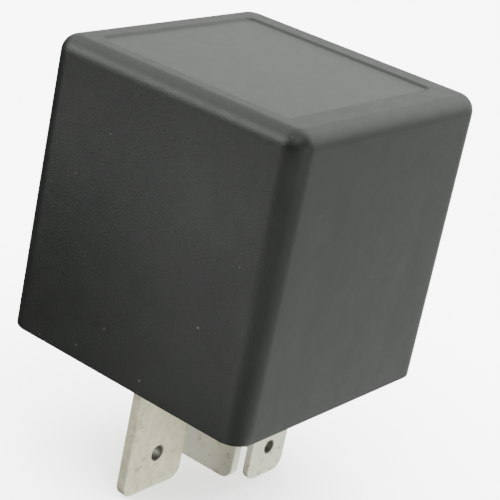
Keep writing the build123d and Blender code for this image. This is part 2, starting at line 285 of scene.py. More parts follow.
# Round bounce cards beside the object: place (mm), the way they face, width (mm), watts
CARDS = (
    ((-57, 46, 10), (1, -0.7, 0.4), 12, 0.0019),
    ((-57, 31, 10), (1, -0.7, 0.4), 12, 0.0003),
    ((-57, 16, 10), (1, -0.7, 0.4), 12, 0.0019),
    ((-70, 5, -14), (0, 0, 1), 60, 0.0132),
    ((-85, -70, -14), (0, 0, 1), 60, 0.012),
)

# Where a finish's two colours and its two roughnesses lie in its noise, and how much finer the
# noise of the roughness is
COLOUR_STOPS = (0.3, 0.7)
ROUGH_STOPS = (0.25, 0.75)
ROUGH_FINER = 2.7
# Colours laid over the finishes. Rubbed patches and stains have a noise's scale and detail, the
# values between which they come in, and their share at the two. Dust has the scale of its cells,
# a speck's size in one and the share of it that fades, and the scale and fade of its patches
RUBBED = (0.022, 0.0235, 0.0213)
RUBBED_NOISE = (120, 8)
RUBBED_RANGE = (0.58, 0.74, 0, 0.3)
STAIN = (0.5, 0.46, 0.31)
STAIN_NOISE = (900, 8)
STAIN_RANGE = (0.57, 0.7, 0, 0.6)
DUST = (0.1, 0.1, 0.095)
DUST_SCALE = 900
DUST_SIZE = 0.16
DUST_FADE = 0.5
DUST_PATCHES = 0.6
DUST_PATCH_FADE = 0.02
# How a finish's noise is stretched along X, Y and Z: not at all, as rolled iron, as a drawn leaf
EVEN = (1, 1, 1)
ROLLED = (1, 1, 0.12)
DRAWN = (0.25, 1, 0.25)
# Moulded plastics: name, dark, light, roughness, specular level, rarity of dust
PLASTICS = (
    ("cap_plastic", (0.009, 0.0097, 0.0089), (0.012, 0.0127, 0.0117), (0.31, 0.39), 0.475, 0.67),
    ("cap_recess", (0.018, 0.019, 0.0175), (0.021, 0.022, 0.0205), (0.30, 0.34), 0.62, 0.72),
    ("base_plastic", (0.012, 0.012, 0.013), (0.02, 0.02, 0.021), (0.5, 0.62), 0.45, 0.7),
)
# Tin: name, dark, light
TINS = (
    ("tinned_brass", (0.81, 0.77, 0.56), (0.98, 0.945, 0.73)),
    # A lighter copy of the same tin, as painted light
    ("painted_light_tin", (0.95, 0.92, 0.74), (1.0, 0.975, 0.85)),
)
# Other finishes: name, dark, light, roughness, metallic, grain, bump, stretch
OTHERS = (
    # The walls in the blades' holes: bare punched metal, made darker too as painted shade inside
    # the holes
    ("shaded_punched_wall", (0.21, 0.206, 0.182), (0.31, 0.303, 0.268), (0.55, 0.7), 0.7, 6000, 0.1, EVEN),
    ("bobbin_plastic", (0.62, 0.57, 0.46), (0.72, 0.68, 0.57), (0.35, 0.5), 0.0, 5000, 0.08, EVEN),
    ("plated_iron", (0.50, 0.52, 0.53), (0.64, 0.65, 0.64), (0.26, 0.4), 1.0, 6000, 0.12, ROLLED),
    ("bare_iron", (0.33, 0.33, 0.34), (0.45, 0.45, 0.46), (0.22, 0.36), 1.0, 7000, 0.14, EVEN),
    ("copper_wire", (0.52, 0.17, 0.07), (0.70, 0.28, 0.12), (0.18, 0.3), 1.0, 4000, 0.04, EVEN),
    ("spring_bronze", (0.56, 0.31, 0.13), (0.63, 0.37, 0.16), (0.2, 0.3), 1.0, 9000, 0.05, DRAWN),
    ("rivet_brass", (0.66, 0.48, 0.22), (0.78, 0.60, 0.31), (0.22, 0.34), 1.0, 6000, 0.08, EVEN),
    ("contact_silver", (0.74, 0.73, 0.70), (0.86, 0.85, 0.83), (0.16, 0.32), 1.0, 5000, 0.08, EVEN),
    ("tinned_wire", (0.62, 0.61, 0.58), (0.74, 0.73, 0.70), (0.2, 0.32), 1.0, 5000, 0.06, EVEN),
    ("solder", (0.58, 0.59, 0.60), (0.72, 0.72, 0.72), (0.14, 0.3), 1.0, 2500, 0.1, EVEN),
)
# The tint of the plastic's gloss, and the depth of every surface's relief (m)
GLOSS_TINT = (0.965, 1.0, 0.965)
RELIEF = 0.0001

# Meshes: steps round arcs, edges, holes and turned forms, the flat rim just inside an edge,
# how far from its axis a turned form's ends start, and the angle that counts as sharp
ARC_STEPS = 7
EDGE_STEPS = 4
HOLE_STEPS = 40
LATHE_STEPS = 64
FLAT_RIM = 0.04
AXIS_HOLE = 0.02
SHARP = radians(38)
DOME_ANGLES = (0.5, 0.8, 1.1, 1.35, 1.5)


def rounded(corners, radii, steps=ARC_STEPS):
    """An outline through the given corners, each rounded by its radius."""
    corners = [Vector(corner) for corner in corners]
    points = []
    for i, corner in enumerate(corners):
        if radii[i] == 0:
            points.append(corner)
            continue
        before = (corners[i - 1] - corner).normalized()
        after = (corners[(i + 1) % len(corners)] - corner).normalized()
        half = before.angle(after) / 2
        middle = corner + (before + after).normalized() * radii[i] / sin(half)
        first = corner + before * radii[i] / tan(half) - middle
        last = corner + after * radii[i] / tan(half) - middle
        whole = first.angle(last)
        for step in range(steps + 1):
            share = step / steps
            swing = first * sin((1 - share) * whole) + last * sin(share * whole)
            points.append(middle + swing / sin(whole))
    return points


def box_outline(low, high, radius):
    """A rectangle's outline with rounded corners, counter-clockwise."""
    corners = [low, (high[0], low[1]), high, (low[0], high[1])]
    return rounded(corners, [radius] * 4)


def hole(x, y, radius, steps=HOLE_STEPS):
    """A round hole's outline, clockwise."""
    turns = [-2 * pi * step / steps for step in range(steps)]
    return [Vector((x + radius * cos(turn), y + radius * sin(turn))) for turn in turns]


def slot_hole(x, y, half_x, half_y):
    """A rectangular hole's outline, clockwise."""
    return box_outline((x - half_x, y - half_y), (x + half_x, y + half_y), SLOT_CORNER)[::-1]


def inset(outline, distance):
    """An outline moved into its material, which lies on its left."""
    points = []
    for i, point in enumerate(outline):
        normals = []
        for start, end in ((outline[i - 1], point), (point, outline[(i + 1) % len(outline)])):
            along = (end - start).normalized()
            normals.append(Vector((-along.y, along.x)))
        share = 1 + normals[0].dot(normals[1])
        points.append(point + (normals[0] + normals[1]) * distance / share)
    return points


def blank(outlines, thick, edge, punched=False):
    """A flat blank about Z = 0 with rounded edges, from its rim's outline and its holes'.

    The walls of a punched blank's holes take the piece's second material.
    """
    build = bmesh.new()
    profile = []
    for side in (-1, 1):
        for step in range(EDGE_STEPS + 1):
            turn = (step if side > 0 else step - EDGE_STEPS) / EDGE_STEPS * pi / 2
            height = side * (thick / 2 - edge) + edge * sin(turn)
            profile.append((edge * (1 - cos(turn)), height))
    profile = [(edge + FLAT_RIM, -thick / 2), *profile, (edge + FLAT_RIM, thick / 2)]
    caps = ([], [])
    for place, outline in enumerate(outlines):
        loops = []
        for distance, height in profile:
            points = inset(outline, distance)
            loops.append([build.verts.new((*point, height)) for point in points])
        for below, above in zip(loops, loops[1:]):
            join(build, below, above, 1 if place and punched else 0)
        caps[0].append(loops[0])
        caps[1].append(loops[-1])
    for loops in caps:
        verts = [vert for loop in loops for vert in loop]
        for triangle in tessellate_polygon([[vert.co for vert in loop] for loop in loops]):
            build.faces.new([verts[index] for index in triangle])
    bmesh.ops.recalc_face_normals(build, faces=build.faces)
    return build


def join(build, below, above, look=0):
    """Quads between two rings of vertices, in the piece's material of that number."""
    count = len(below)
    for i in range(count):
        j = (i + 1) % count
        build.faces.new((below[i], below[j], above[j], above[i])).material_index = look


def loft(rings):
    """A closed form through rings of points, capped at both ends."""
    build = bmesh.new()
    loops = [[build.verts.new(point) for point in ring] for ring in rings]
    for below, above in zip(loops, loops[1:]):
        join(build, below, above)
    build.faces.new(loops[0])
    build.faces.new(loops[-1])
    bmesh.ops.recalc_face_normals(build, faces=build.faces)
    return build


def lathe(profile, radii):
    """A form turned about Z, from corners (radius, height) with their rounding."""
    rings = []
    for point in rounded(profile, radii):
        turns = [2 * pi * step / LATHE_STEPS for step in range(LATHE_STEPS)]
        rings.append([(point.x * cos(turn), point.x * sin(turn), point.y) for turn in turns])
    return loft(rings)


def dome(radius, low, high, bulge, edge):
    """A disc from a flat underside to a gently domed top."""
    brim = high - bulge
    rise = [(radius * cos(angle), brim + bulge * sin(angle)) for angle in DOME_ANGLES]
    profile = [(AXIS_HOLE, low), (radius, low), (radius, brim), *rise]
    return lathe(profile, [0, edge, edge] + [0] * len(rise))


def moved(build, matrix):
    """The same form, moved."""
    bmesh.ops.transform(build, matrix=matrix, verts=build.verts)
    return build


def merged(builds):
    """Several forms as one."""
    whole = bmesh.new()
    for build in builds:
        mesh = bpy.data.meshes.new("part")
        build.to_mesh(mesh)
        build.free()
        whole.from_mesh(mesh)
        bpy.data.meshes.remove(mesh)
    return whole


def shift(x, y, z):
    """A move along the three axes."""
    return Matrix.Translation((x, y, z))


STAND = Matrix.Rotation(pi / 2, 4, "X")
FACE_BACK = Matrix.Rotation(-pi / 2, 4, "Y")
UPSIDE_DOWN = Matrix.Rotation(pi, 4, "X")
OPENED = shift(*HINGE) @ Matrix.Rotation(-OPEN_ANGLE, 4, "Y") @ shift(*-HINGE)


class Strip:
    """A sheet strip's bent centre line in the XZ plane: straight runs joined by arcs."""

    def __init__(self, corners, radius):
        corners = [Vector(corner) for corner in corners]
        self.runs = []
        start = corners[0]
        for i in range(1, len(corners)):
            along = (corners[i] - corners[i - 1]).normalized()
            if i + 1 < len(corners):
                after = (corners[i + 1] - corners[i]).normalized()
                turn = along.angle_signed(after)
                stop = corners[i] - along * radius * tan(abs(turn) / 2)
            else:
                turn = 0
                stop = corners[i]
            self.runs.append((start, along, (stop - start).length, 0, 0))
            if turn:
                self.runs.append((stop, along, radius * abs(turn), turn, radius))
                start = corners[i] + after * radius * tan(abs(turn) / 2)
        self.length = sum(run[2] for run in self.runs)

    def place(self, reach):
        """The point and the direction at a distance along the strip."""
        for start, along, length, turn, radius in self.runs:
            if reach <= length or (start, along) == self.runs[-1][:2]:
                break
            reach -= length
        if not turn:
            return start + along * reach, along
        swung = turn * reach / length
        side = 1 if turn > 0 else -1
        centre = start + Vector((along.y, -along.x)) * radius * side
        spin = Matrix.Rotation(-swung, 2)
        return centre + spin @ (start - centre), spin @ along

    def bend(self, build):
        """Bend a flat blank, whose length runs along Y, to follow the strip."""
        reach = 0
        for _, _, length, turn, _ in self.runs:
            if turn:
                for step in range(ARC_STEPS + 1):
                    cut = (0, reach + length * step / ARC_STEPS, 0)
                    geometry = [*build.verts, *build.edges, *build.faces]
                    bmesh.ops.bisect_plane(build, geom=geometry, plane_co=cut, plane_no=(0, 1, 0))
            reach += length
        for vert in build.verts:
            across, along, out = vert.co
            point, way = self.place(along)
            vert.co = (point.x + out * way.y, across, point.y - out * way.x)
        return build


def linked(name, data):
    """A new object in the scene."""
    made = bpy.data.objects.new(name, data)
    bpy.context.scene.collection.objects.link(made)
    return made


def smooth_object(name, build, look):
    """A form in millimetres made into a smooth object in metres, with its material."""
    mesh = bpy.data.meshes.new(name)
    build.to_mesh(mesh)
    build.free()
    mesh.transform(Matrix.Scale(MM, 4))
    for face in mesh.polygons:
        face.use_smooth = True
    mesh.materials.append(look)
    return linked(name, mesh)


def add_piece(name, build, body, slot, look, *nodes):
    """A finished piece: the body it rides on, if any yet, and the nodes it replaces; slot is not
    used.
    """
    piece = smooth_object(name, build, look)
    piece.data.set_sharp_from_angle(angle=SHARP)
    normals = piece.modifiers.new("normals", "WEIGHTED_NORMAL")
    normals.keep_sharp = True
    if body:
        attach(piece, body)
    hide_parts(*nodes)
    return piece


def square_ring(half, corner, height, middle=(0, 0), sink=0.0):
    """A rounded square at one height, its sides drawn in a little at the sink marks."""
    points = []
    for quarter in range(4):
        turn = Matrix.Rotation(quarter * pi / 2, 3, "Z")
        centre = Vector((half - corner, half - corner, 0))
        ring = []
        for step in range(CORNER_STEPS + 1):
            angle = step / CORNER_STEPS * pi / 2
            ring.append(centre + Vector((corner * cos(angle), corner * sin(angle), 0)))
        for step in range(1, SIDE_STEPS):
            along = (half - corner) * (1 - 2 * step / SIDE_STEPS)
            drawn = sum(exp(-((along - place) / SINK_WIDTH) ** 2) for place in SINK_PLACES)
            ring.append(Vector((along, half - sink * drawn, 0)))
        points += [turn @ point + Vector((*middle, height)) for point in ring]
    return points


def cap_shell():
    """The cap: cavity, rim, drafted sides, rounded top edge and the recess."""
    rings = []
    roof = COVER_TOP - RECESS_DEPTH - WALL
    seat_half = COVER_HALF - WALL
    for step in range(FILLET_STEPS + 1):
        angle = step / FILLET_STEPS * pi / 2
        wall_half = seat_half - SEAT_STEP - (roof - SEAT_BAND) * DRAFT
        half = wall_half - CAVITY_EDGE * (1 - sin(angle))
        corner = CAVITY_CORNER - CAVITY_EDGE * (1 - sin(angle))
        rings.append(square_ring(half, corner, roof - CAVITY_EDGE * (1 - cos(angle))))
    rings.append(square_ring(seat_half - SEAT_STEP, CAVITY_CORNER, SEAT_BAND + SEAT_STEP))
    rings.append(square_ring(seat_half, CAVITY_CORNER, SEAT_BAND))
    rings.append(square_ring(seat_half, CAVITY_CORNER, SEAT_LEAD))
    rings.append(square_ring(seat_half + SEAT_LEAD, CAVITY_CORNER + SEAT_LEAD, 0))
    for step in range(EDGE_STEPS + 1):
        angle = step / EDGE_STEPS * pi / 2
        drawn = RIM_EDGE * (1 - sin(angle))
        rings.append(square_ring(COVER_HALF - drawn, CORNER - drawn, RIM_EDGE * (1 - cos(angle))))
    shoulder = COVER_TOP - TOP_EDGE
    for step in range(1, WALL_STEPS + 1):
        height = RIM_EDGE + (shoulder - RIM_EDGE) * step / WALL_STEPS
        lean = height * DRAFT
        sink = SINK_DEPTH * sin(pi * step / WALL_STEPS)
        rings.append(square_ring(COVER_HALF - lean, CORNER - lean, height, sink=sink))
    half = COVER_HALF - COVER_TOP * DRAFT
    for step in range(1, FILLET_STEPS + 1):
        angle = step / FILLET_STEPS * pi / 2
        drawn = TOP_EDGE * (1 - cos(angle))
        corner = CORNER - COVER_TOP * DRAFT - drawn
        rings.append(square_ring(half - drawn, corner, shoulder + TOP_EDGE * sin(angle)))
    for step in range(RECESS_STEPS + 1):
        share = step / RECESS_STEPS
        grow = RECESS_SLOPE * (0.5 - share)
        height = COVER_TOP - RECESS_DEPTH * share * share * (3 - 2 * share)
        rings.append(square_ring(RECESS_HALF + grow, RECESS_CORNER + grow, height, RECESS_MIDDLE))
    inner = RECESS_SLOPE * 0.5 + FLAT_RIM
    floor = COVER_TOP - RECESS_DEPTH
    rings.append(square_ring(RECESS_HALF - inner, RECESS_CORNER - inner, floor, RECESS_MIDDLE))
    return loft(rings)


def base_plate():
    """The base: a plate with blade slots, crush ribs, ejector marks and the yoke's rails."""
    half = BASE_HALF
    outlines = [box_outline((-half, -half), (half, half), BASE_CORNER)]
    load = LOAD_WIDTH / 2 + SLOT_GAP
    outlines.append(slot_hole(BLADE_30_X, 0, load, LOAD_THICK / 2 + SLOT_EASE))
    for x in (BLADE_87A_X, BLADE_87_X):
        outlines.append(slot_hole(x, 0, LOAD_THICK / 2 + SLOT_EASE, load))
    coil = COIL_WIDTH / 2 + SLOT_GAP
    for side in (-1, 1):
        y = side * COIL_TAB_Y
        outlines.append(slot_hole(COIL_TAB_X, y, coil, COIL_THICK / 2 + SLOT_EASE))
    for x, y in PIN_MARKS:
        outlines.append(hole(x, y, PIN_MARK))
    parts = [moved(blank(outlines, BASE_THICK, BASE_EDGE), shift(0, 0, BASE_THICK / 2))]
    for x, y in PIN_MARKS:
        thick = BASE_THICK - 2 * PIN_MARK_SINK
        plug = blank([hole(0, 0, PIN_MARK)[::-1]], thick, PIN_MARK_SINK)
        parts.append(moved(plug, shift(x, y, BASE_THICK / 2)))
    rib_out = COVER_HALF - WALL - RIB_GAP
    for quarter in range(4):
        for step in (-1, 0, 1):
            low, high = (-RIB_WIDTH / 2, half - OVERLAP), (RIB_WIDTH / 2, rib_out)
            build = blank([box_outline(low, high, RIB_CORNER)], RIB_HIGH - RIB_LOW, RIB_EDGE)
            place = shift(step * RIB_SPACING, 0, (RIB_HIGH + RIB_LOW) / 2)
            parts.append(moved(build, Matrix.Rotation(quarter * pi / 2, 4, "Z") @ place))
    for side in (-1, 1):
        outer = side * YOKE_HIGH.y
        low, high = sorted((outer, outer - side * RAIL_WIDTH))
        rail = box_outline((YOKE_LOW.x, low), (YOKE_HIGH.x, high), RAIL_CORNER)
        tall = YOKE_LOW.z - BASE_THICK + OVERLAP
        build = blank([rail], tall, RAIL_EDGE)
        parts.append(moved(build, shift(0, 0, YOKE_LOW.z - tall / 2)))
    return merged(parts)


def flat_terminal(corners, radii, thick, edge, tip_hole, place):
    """A flat blade standing in an XZ plane, its tip at the bottom."""
    outlines = [rounded(corners, radii), hole(*tip_hole)]
    return moved(blank(outlines, thick, edge, punched=True), shift(*place) @ STAND)


def terminal_30():
    """The common blade, with the tenon that is staked in the yoke."""
    low, high = BOX["terminal_30"]
    wide = LOAD_WIDTH / 2
    shoulder = YOKE_LOW.z - low.z
    top = high.z - low.z
    left, right = TENON_SIDES
    corners = [(-wide, 0), (wide, 0), (wide, shoulder), (right, shoulder)]
    corners += [(right, top), (left, top), (left, shoulder), (-wide, shoulder)]
    tip_hole = (0, LOAD_RISE, LOAD_HOLE)
    place = (BLADE_30_X, 0, low.z)
    return flat_terminal(corners, RADII_30, LOAD_THICK, LOAD_EDGE, tip_hole, place)


def coil_terminal(node, side):
    """A narrow coil blade and the stem beside the winding."""
    low, high = BOX[node]
    wide = COIL_WIDTH / 2
    shoulder = BASE_THICK - low.z
    top = high.z - low.z
    inner = wide - COIL_STEM
    corners = [(-wide, 0), (wide, 0), (wide, top), (inner, top)]
    corners += [(inner, shoulder), (-wide, shoulder)]
    tip_hole = (0, COIL_RISE, COIL_HOLE)
    place = (COIL_TAB_X, side * COIL_TAB_Y, low.z)
    return flat_terminal(corners, RADII_COIL, COIL_THICK, COIL_EDGE, tip_hole, place)


def bent_terminal(node, side, corners):
    """A blade across the X axis, whose stem is bent up and over to the contact plate."""
    strip = Strip(corners, BEND_RADIUS)
    wide = LOAD_WIDTH / 2
    shoulder = BASE_THICK - BOX[node][0].z
    plate = strip.length - (corners[-2][0] - BEND_RADIUS - corners[-1][0])
    outline = [(-wide, 0), (wide, 0), (wide, shoulder), (-STEM_INNER, shoulder)]
    outline += [(-STEM_INNER, plate), (PLATE_SIDE, plate)]
    outline += [(PLATE_SIDE, strip.length), (-wide, strip.length)]
    points = rounded(outline, RADII_BENT)
    if side > 0:
        points = [Vector((-point.x, point.y)) for point in reversed(points)]
    outlines = [points, hole(0, SWITCHED_RISE, LOAD_HOLE)]
    return strip.bend(blank(outlines, LOAD_THICK, LOAD_EDGE, punched=True))


def terminal_87():
    """The normally open blade, with its plate under the contacts."""
    low, high = BOX["terminal_87"]
    middle = high.z - LOAD_THICK / 2
    corners = [(BLADE_87_X, low.z), (BLADE_87_X, middle), (CONTACT_X - PLATE_REACH, middle)]
    return bent_terminal("terminal_87", -1, corners)


def terminal_87a():
    """The normally closed blade, with its plate over the contacts."""
    low, high = BOX["terminal_87a"]
    middle = high.z - LOAD_THICK / 2
    corners = [(BLADE_87A_X, low.z), (BLADE_87A_X, RUN_87A_Z), (STEM_87A_X, RUN_87A_Z)]
    corners += [(STEM_87A_X, middle), (CONTACT_X - PLATE_REACH, middle)]
    return bent_terminal("terminal_87a", 1, corners)


def yoke_frame():
    """The L-shaped iron, rolled 2 mm thick with a rounded heel."""
    back, front = YOKE_LOW.x, YOKE_HIGH.x
    low, high = YOKE_LOW.z, YOKE_HIGH.z
    inside, floor = back + YOKE_THICK, low + YOKE_THICK
    corners = [(back, low), (front, low), (front, floor)]
    corners += [(inside, floor), (inside, high), (back, high)]
    outline = rounded(corners, YOKE_RADII)
    return moved(blank([outline], YOKE_HIGH.y - YOKE_LOW.y, IRON_EDGE), STAND)


def core_bar():
    """The core: staked tail, bar and the wider pole head."""
    low, high = BOX["core"][0].z, BOX["core"][1].z
    foot = low + YOKE_THICK
    head = high - POLE_THICK
    profile = [(AXIS_HOLE, low), (TAIL_RADIUS, low), (TAIL_RADIUS, foot), (CORE_RADIUS, foot)]
    profile += [(CORE_RADIUS, head), (POLE_RADIUS, head), (POLE_RADIUS, high), (AXIS_HOLE, high)]
    return moved(lathe(profile, CORE_RADII), shift(CORE_X, 0, 0))


def bobbin_spool():
    """The spool: two square flanges on a tube."""
    low, high = BOX["bobbin"][0].z, BOX["bobbin"][1].z
    outline = box_outline((-FLANGE_HALF, -FLANGE_HALF), (FLANGE_HALF, FLANGE_HALF), FLANGE_CORNER)
    bore = hole(0, 0, CORE_RADIUS + BORE_GAP, LATHE_STEPS)
    parts = []
    for height in (low + FLANGE_THICK / 2, high - FLANGE_THICK / 2):
        flange = blank([outline, bore], FLANGE_THICK, FLANGE_EDGE)
        parts.append(moved(flange, shift(CORE_X, 0, height)))
    wall = hole(0, 0, TUBE_RADIUS, LATHE_STEPS)[::-1]
    tube = blank([wall, bore], high - low - 2 * TUBE_SUNK, TUBE_EDGE)
    parts.append(moved(tube, shift(CORE_X, 0, (low + high) / 2)))
    return merged(parts)


def coil_turns():
    """The winding's outer layer, turn by turn, over a solid bed of wire."""
    low, high = BOX["coil_winding"][0].z, BOX["coil_winding"][1].z
    middle = WINDING_RADIUS - WIRE_RADIUS
    count = int((high - low) / (2 * WIRE_RADIUS)) - 1
    pitch = (high - low - 2 * WIRE_RADIUS) / count
    rings = []
    for step in range(count * WIRE_STEPS + 1):
        turn = 2 * pi * step / WIRE_STEPS
        height = low + WIRE_RADIUS + pitch * step / WIRE_STEPS
        wander = sum(reach * sin(turn * waves + phase) for reach, waves, phase in WIRE_WANDERS)
        radius = middle - WIRE_SUNK + wander
        ring = []
        for side in range(WIRE_SIDES):
            angle = 2 * pi * side / WIRE_SIDES
            out = radius + WIRE_RADIUS * cos(angle)
            ring.append((out * cos(turn), out * sin(turn), height + WIRE_RADIUS * sin(angle)))
        rings.append(ring)
    bed = middle - BED_SUNK
    profile = [(TUBE_RADIUS, low), (bed, low), (bed, high), (TUBE_RADIUS, high)]
    return moved(merged([loft(rings), lathe(profile, [0] * len(profile))]), shift(CORE_X, 0, 0))


def armature_plate():
    """The hinged iron plate, rounded over the hinge, in its open position."""
    low, high = ARMATURE_LOW, ARMATURE_HIGH
    back, tip = ARMATURE_BACK, ARMATURE_TIP
    outline = rounded([(back, low), (tip, low), (tip, high), (back, high)], ARMATURE_RADII)
    return moved(blank([outline], 2 * ARMATURE_HALF, IRON_EDGE), OPENED @ STAND)


def spring_leaf():
    """The bent leaf, from the yoke's back over the hinge to the moving contact."""
    middle = ARMATURE_HIGH + SPRING_THICK / 2
    foot = Vector((YOKE_LOW.x - SPRING_THICK / 2, SPRING_FOOT))
    tip = OPENED @ Vector((SPRING_TIP, 0, middle))
    corner = Vector((foot.x, tip.z - (tip.x - foot.x) * tan(OPEN_ANGLE)))
    strip = Strip([foot, corner, (tip.x, tip.z)], SPRING_BEND)
    neck = strip.length - (SPRING_TIP - ARMATURE_TIP + SPRING_LAP)
    wide, slim, end = SPRING_HALF, SPRING_NECK, strip.length
    corners = [(-wide, 0), (wide, 0), (wide, neck), (slim, neck)]
    corners += [(slim, end), (-slim, end), (-slim, neck), (-wide, neck)]
    return strip.bend(blank([rounded(corners, SPRING_RADII)], SPRING_THICK, SPRING_EDGE))


def rivet(low, high):
    """A rivet on the Z axis with a domed head on top of its shank."""
    foot = low - UPSET
    profile = [(AXIS_HOLE, foot), (RIVET_SHANK, foot), (RIVET_SHANK, high), (AXIS_HOLE, high)]
    shank = lathe(profile, [0, UPSET_EDGE, 0, 0])
    head = dome(RIVET_HEAD, 0, RIVET_RISE, RIVET_BULGE, RIVET_EDGE)
    return merged([shank, moved(head, shift(0, 0, high))])


def armature_rivets():
    """Two rivets through the spring and the armature."""
    parts = []
    for side in (-1, 1):
        place = OPENED @ shift(RIVET_X, side * RIVET_Y, 0)
        parts.append(moved(rivet(ARMATURE_LOW, ARMATURE_HIGH + SPRING_THICK), place))
    return merged(parts)


def yoke_rivets():
    """Two rivets through the spring and the yoke's back."""
    parts = []
    for side in (-1, 1):
        place = shift(YOKE_LOW.x, side * RIVET_Y, RIVET_Z) @ FACE_BACK
        parts.append(moved(rivet(-YOKE_THICK, SPRING_THICK), place))
    return merged(parts)


def moving_contact():
    """The double-faced contact rivet in the spring's free end."""
    parts = []
    for rise, place in (
        (UPPER_RISE, shift(0, 0, ARMATURE_HIGH + SPRING_THICK)),
        (LOWER_RISE, shift(0, 0, ARMATURE_HIGH) @ UPSIDE_DOWN),
    ):
        parts.append(moved(dome(CONTACT_RADIUS, 0, rise, CONTACT_BULGE, CONTACT_EDGE), place))
    return moved(merged(parts), OPENED @ shift(CONTACT_X, 0, 0))


def fixed_contact(node, way):
    """A flat contact rivet staked in a terminal's plate, facing the moving one."""
    low, high = BOX[node]
    thick = high.z - low.z
    profile = [(AXIS_HOLE, -UPSET), (CONTACT_SHANK, -UPSET), (CONTACT_SHANK, LOAD_THICK)]
    profile += [(CONTACT_RADIUS, LOAD_THICK), (CONTACT_RADIUS, thick), (AXIS_HOLE, thick)]
    build = lathe(profile, [0, UPSET_EDGE, 0, CONTACT_HEEL, CONTACT_EDGE, 0])
    if way > 0:
        return moved(build, shift(CONTACT_X, 0, low.z))
    return moved(build, shift(CONTACT_X, 0, high.z) @ UPSIDE_DOWN)


def resistor_body():
    """The resistor's dipped body: fuller over its end caps than at its waist."""
    end, waist, half = RESISTOR_END, RESISTOR_WAIST, RESISTOR_HALF
    cap, neck = half - RESISTOR_CAP, half - RESISTOR_NECK
    profile = [(AXIS_HOLE, -half), (end, -half), (end, -cap), (waist, -neck)]
    profile += [(waist, neck), (end, cap), (end, half), (AXIS_HOLE, half)]
    build = lathe(profile, [0, *[RESISTOR_EDGE] * 6, 0])
    return moved(build, Matrix.Translation(RESISTOR_MIDDLE) @ STAND)


def solder_joints():
    """The solder wetted over each coil terminal's stem and the two wires on it."""
    parts = []
    for side in (-1, 1):
        build = bmesh.new()
        bmesh.ops.create_icosphere(build, subdivisions=SOLDER_STEPS, radius=1)
        for vert in build.verts:
            x, y, z = vert.co
            # Slow waves over the ball, so that no two of its sides are alike
            swell = 1 + SOLDER_SWELL * sin(3 * x + 1.3) * cos(4 * z)
            swell += SOLDER_RIPPLE * sin(5 * y + 2 * x)
            reach = SOLDER_HALF[0] - SOLDER_DRAW * abs(z) ** 3
            vert.co = (x * swell * reach, y * swell * SOLDER_HALF[1], z * swell * SOLDER_HALF[2])
        parts.append(moved(build, shift(SOLDER_X, side * COIL_TAB_Y, SOLDER_Z)))
    return merged(parts)


def own_place(tree):
    """The place of a point in the piece's own coordinates."""
    return tree.nodes.new("ShaderNodeTexCoord").outputs["Object"]


def noise(tree, scale, detail=3.0, stretch=EVEN):
    """A noise value over the piece's own coordinates, stretched where its axis is under 1."""
    fit = tree.nodes.new("ShaderNodeMapping")
    fit.inputs["Scale"].default_value = stretch
    made = tree.nodes.new("ShaderNodeTexNoise")
    made.inputs["Scale"].default_value = scale
    made.inputs["Detail"].default_value = detail
    tree.links.new(own_place(tree), fit.inputs["Vector"])
    tree.links.new(fit.outputs["Vector"], made.inputs["Vector"])
    return made.outputs["Fac"]


def ramp(tree, value, stops):
    """Two colours at given places along a value."""
    made = tree.nodes.new("ShaderNodeValToRGB")
    for point, (place, colour) in zip(made.color_ramp.elements, stops):
        point.position = place
        point.color = (*colour, 1)
    tree.links.new(value, made.inputs["Fac"])
    return made.outputs["Color"]


def spread(tree, value, start, end, low, high):
    """A value taken from one range to another."""
    made = tree.nodes.new("ShaderNodeMapRange")
    ends = {"From Min": start, "From Max": end, "To Min": low, "To Max": high}
    for name, number in ends.items():
        made.inputs[name].default_value = number
    tree.links.new(value, made.inputs["Value"])
    return made.outputs["Result"]


def over(tree, share, under, colour):
    """A colour laid over another where share is high."""
    made = tree.nodes.new("ShaderNodeMix")
    made.data_type = "RGBA"
    tree.links.new(share, made.inputs["Factor"])
    tree.links.new(under, made.inputs["A"])
    made.inputs["B"].default_value = (*colour, 1)
    return made.outputs["Result"]


def worked(tree, operation, *inputs):
    """The result of a Math node, from values and plain numbers."""
    made = tree.nodes.new("ShaderNodeMath")
    made.operation = operation
    for socket, given in zip(made.inputs, inputs):
        if isinstance(given, (int, float)):
            socket.default_value = given
        else:
            tree.links.new(given, socket)
    return made.outputs["Value"]


def dust_specks(tree, rarity):
    """Small round spots, few and far between."""
    cells = tree.nodes.new("ShaderNodeTexVoronoi")
    cells.inputs["Scale"].default_value = DUST_SCALE
    tree.links.new(own_place(tree), cells.inputs["Vector"])
    spot = spread(tree, cells.outputs["Distance"], DUST_SIZE, DUST_SIZE * DUST_FADE, 0, 1)
    patches = noise(tree, DUST_SCALE * DUST_PATCHES, 1)
    patch = spread(tree, patches, rarity, rarity + DUST_PATCH_FADE, 0, 1)
    return worked(tree, "MULTIPLY", spot, patch)


def finish(name, dark, light, rough, metallic=0.0, specular=0.5,
           patch=300, grain=5000, bump=0.1, stretch=EVEN):
    """A material whose colour, roughness and surface all vary, and what later steps build on.

    dark and light are the ends of its colour, rough the ends of its roughness, patch and grain
    the scales of its patches and of its relief, and bump the strength of that relief.
    """
    look = bpy.data.materials.new(name)
    look.use_nodes = True
    tree = look.node_tree
    shader = tree.nodes["Principled BSDF"]
    shader.inputs["Metallic"].default_value = metallic
    shader.inputs["Specular IOR Level"].default_value = specular
    colour = ramp(tree, noise(tree, patch, 6, stretch), zip(COLOUR_STOPS, (dark, light)))
    tree.links.new(colour, shader.inputs["Base Color"])
    worn = spread(tree, noise(tree, patch * ROUGH_FINER, 5, stretch), *ROUGH_STOPS, *rough)
    tree.links.new(worn, shader.inputs["Roughness"])
    relief = tree.nodes.new("ShaderNodeBump")
    relief.inputs["Strength"].default_value = bump
    relief.inputs["Distance"].default_value = RELIEF
    tree.links.new(noise(tree, grain, 4, stretch), relief.inputs["Height"])
    tree.links.new(relief.outputs["Normal"], shader.inputs["Normal"])
    return look, tree, shader, colour


